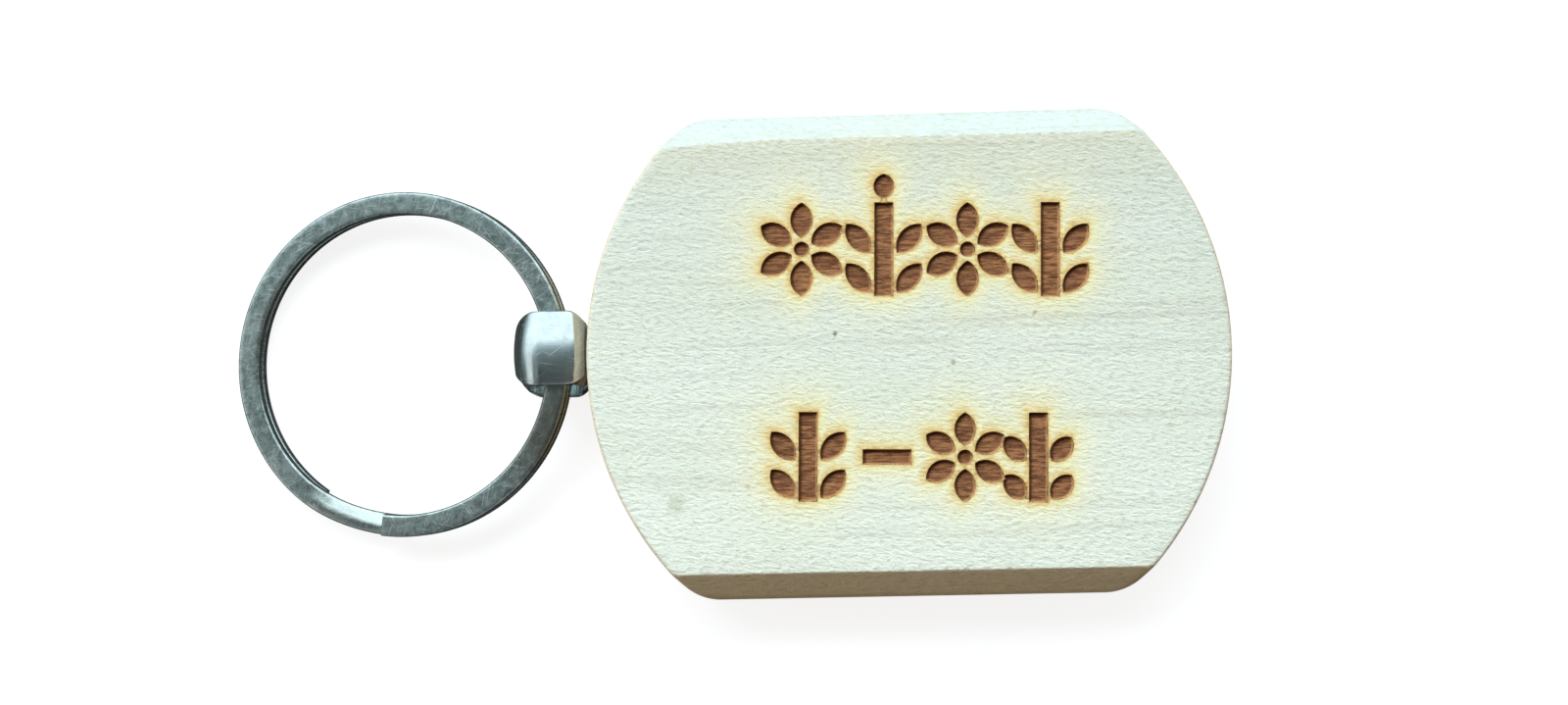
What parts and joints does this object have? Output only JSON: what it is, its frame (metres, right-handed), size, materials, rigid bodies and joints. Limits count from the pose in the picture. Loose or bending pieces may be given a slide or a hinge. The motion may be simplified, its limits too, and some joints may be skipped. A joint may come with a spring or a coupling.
{
  "type": "wooden key ring fob",
  "caption": "Flat bevelled wood fob with an engraved ornament, a metal strap eye pinned in one end, and a flat-wire split ring that swings in the eye to hold keys.",
  "frame": {"origin": "middle of the wood block's flat back face", "axes": "+X along the block away from the split ring, +Y across the block towards the top of the ornament, +Z out of the engraved face"},
  "size_m": [0.0858, 0.041, 0.01],
  "materials": {
    "pale_wood": "sanded, unvarnished, with burned engraving",
    "strap_chrome": "bright plated, lightly scratched",
    "pin_steel": "bright drawn wire",
    "hard_glue": "hardened amber glue",
    "ring_steel": "nickel plated, satin, fine scratches"
  },
  "bodies": {
    "fob": {"wood_block": "pale_wood", "strap_loop": "strap_chrome", "retaining_pin": "pin_steel", "adhesive_plug": "hard_glue"},
    "ring": {"split_ring": "ring_steel"}
  },
  "joints": [
    {"name": "ring_swing", "type": "hinge", "parent": "fob", "child": "ring", "pos_m": [-0.0302, 0.00025, 0.005], "axis": [0, 1, 0], "range_deg": [-117, 130]}
  ]
}
